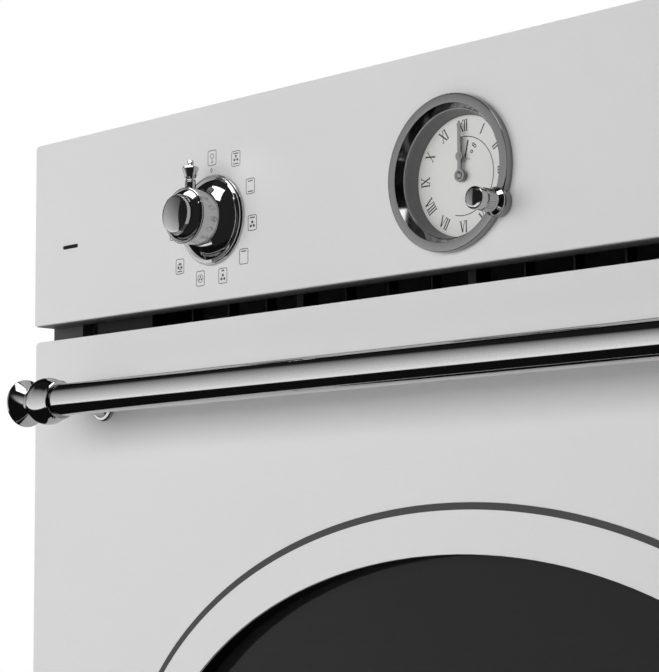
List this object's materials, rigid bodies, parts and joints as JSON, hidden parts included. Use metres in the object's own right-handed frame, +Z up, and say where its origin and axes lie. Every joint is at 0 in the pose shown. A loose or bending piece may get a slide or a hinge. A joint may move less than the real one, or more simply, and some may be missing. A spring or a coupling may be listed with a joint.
{
  "type": "built-in oven",
  "caption": "Built-in oven with a bottom-hinged door with an oval window, a bar handle, turned knobs and a round clock.",
  "frame": {"origin": "middle of the underside of the base plate, halfway between the panel face and the rear cover", "axes": "+X to the right seen from the front, +Y from the front to the rear, +Z up"},
  "size_m": [0.597, 0.598, 0.592],
  "materials": {
    "white_enamel": "satin powder-coated white",
    "chrome": "mirror chrome plating",
    "polished_steel": "polished steel",
    "rack_chrome": "bright chrome wire",
    "hand_metal": "darkened steel",
    "dial_paint": "matt pale dial",
    "dark_frame": "dark grey enamel",
    "black_enamel": "matt black",
    "cavity_enamel": "speckled dark enamel",
    "tray_enamel": "gloss dark enamel",
    "galvanised": "galvanised sheet",
    "zinc": "zinc plated",
    "motor_steel": "dark coated",
    "fan_steel": "plain",
    "heater_steel": "oxidised tube",
    "copper": "plain",
    "grey_plastic": "moulded",
    "black_plastic": "moulded",
    "smoked_plastic": "smoked lens",
    "ceramic": "glazed ceramic",
    "seal_rubber": "woven seal",
    "mineral_wool": "fibrous",
    "dark_line": "dark grey filled line",
    "tinted_glass": "dark tinted pane",
    "clear_glass": "clear pane",
    "lamp_glass": "pressed lens"
  },
  "bodies": {
    "carcass": {"control_panel": "white_enamel", "panel_bracket": "galvanised", "indicator_lens": "smoked_plastic", "knob_rosettes": "chrome", "panel_switches": "grey_plastic", "clock_bezel": "polished_steel", "clock_glass": "clear_glass", "clock_dial": "dial_paint", "clock_movement": "grey_plastic", "front_frame": "dark_frame", "vent_grille": "black_enamel", "air_duct": "galvanised", "blower_housing": "galvanised", "blower_motor": "motor_steel", "base_plate": "galvanised", "side_panels": "galvanised", "top_cover": "galvanised", "rear_cover": "galvanised", "cover_screws": "zinc", "cable_gland": "black_plastic", "terminal_block": "ceramic", "heat_shield": "galvanised", "insulation": "mineral_wool", "oven_cavity": "cavity_enamel", "cavity_gasket": "seal_rubber", "side_racks": "rack_chrome", "fan_cover": "cavity_enamel", "fan_motor": "motor_steel", "ring_heater": "heater_steel", "grill_element": "heater_steel", "bottom_element": "heater_steel", "lamp_lens": "lamp_glass", "lamp_holder": "ceramic", "thermostat_probe": "copper", "hinge_receivers": "zinc", "hinge_arms": "zinc"},
    "door": {"door_skin": "white_enamel", "ring_inlay": "dark_line", "window_seal": "black_enamel", "outer_glass": "tinted_glass", "glass_clips": "zinc", "door_frame": "dark_frame", "middle_glass": "clear_glass", "glass_spacers": "black_plastic", "inner_glass": "clear_glass", "door_top_trim": "black_plastic", "handle_bar": "chrome", "handle_ends": "chrome", "handle_posts": "chrome", "hinge_brackets": "zinc"},
    "selector": {"selector_knob": "chrome"},
    "thermostat": {"thermostat_knob": "chrome"},
    "minute": {"minute_hand": "hand_metal"},
    "hour": {"hour_hand": "hand_metal"},
    "setter": {"clock_setting_knob": "chrome"},
    "fan": {"convection_fan": "fan_steel"},
    "blower": {"blower_impeller": "fan_steel"},
    "shelf": {"wire_shelf": "rack_chrome"},
    "tray": {"baking_tray": "tray_enamel"}
  },
  "joints": [
    {"name": "door_hinge", "type": "hinge", "parent": "carcass", "child": "door", "pos_m": [0, -0.2615, 0.024], "axis": [1, 0, 0], "range_deg": [0, 90]},
    {"name": "selector_turn", "type": "hinge", "parent": "carcass", "child": "selector", "pos_m": [-0.1556, -0.274, 0.5345], "axis": [0, 1, 0], "continuous": true},
    {"name": "thermostat_turn", "type": "hinge", "parent": "carcass", "child": "thermostat", "pos_m": [0.1556, -0.274, 0.5345], "axis": [0, 1, 0], "range_deg": [0, 270]},
    {"name": "minute_turn", "type": "hinge", "parent": "carcass", "child": "minute", "pos_m": [0, -0.274, 0.5356], "axis": [0, 1, 0], "continuous": true},
    {"name": "hour_turn", "type": "hinge", "parent": "carcass", "child": "hour", "pos_m": [0, -0.274, 0.5356], "axis": [0, 1, 0], "continuous": true},
    {"name": "setter_turn", "type": "hinge", "parent": "carcass", "child": "setter", "pos_m": [0.02783, -0.274, 0.51921], "axis": [0, 1, 0], "continuous": true},
    {"name": "fan_spin", "type": "hinge", "parent": "carcass", "child": "fan", "pos_m": [0, 0.18, 0.24862], "axis": [0, 1, 0], "continuous": true},
    {"name": "blower_spin", "type": "hinge", "parent": "carcass", "child": "blower", "pos_m": [0, 0.16, 0.485], "axis": [0, 0, 1], "continuous": true},
    {"name": "shelf_slide", "type": "slide", "parent": "carcass", "child": "shelf", "axis": [0, -1, 0], "range_m": [0, 0.02]},
    {"name": "tray_slide", "type": "slide", "parent": "carcass", "child": "tray", "axis": [0, -1, 0], "range_m": [0, 0.02]}
  ],
  "couplings": [
    {"joint": "hour_turn", "follows": "minute_turn", "ratio": 0.083333}
  ]
}
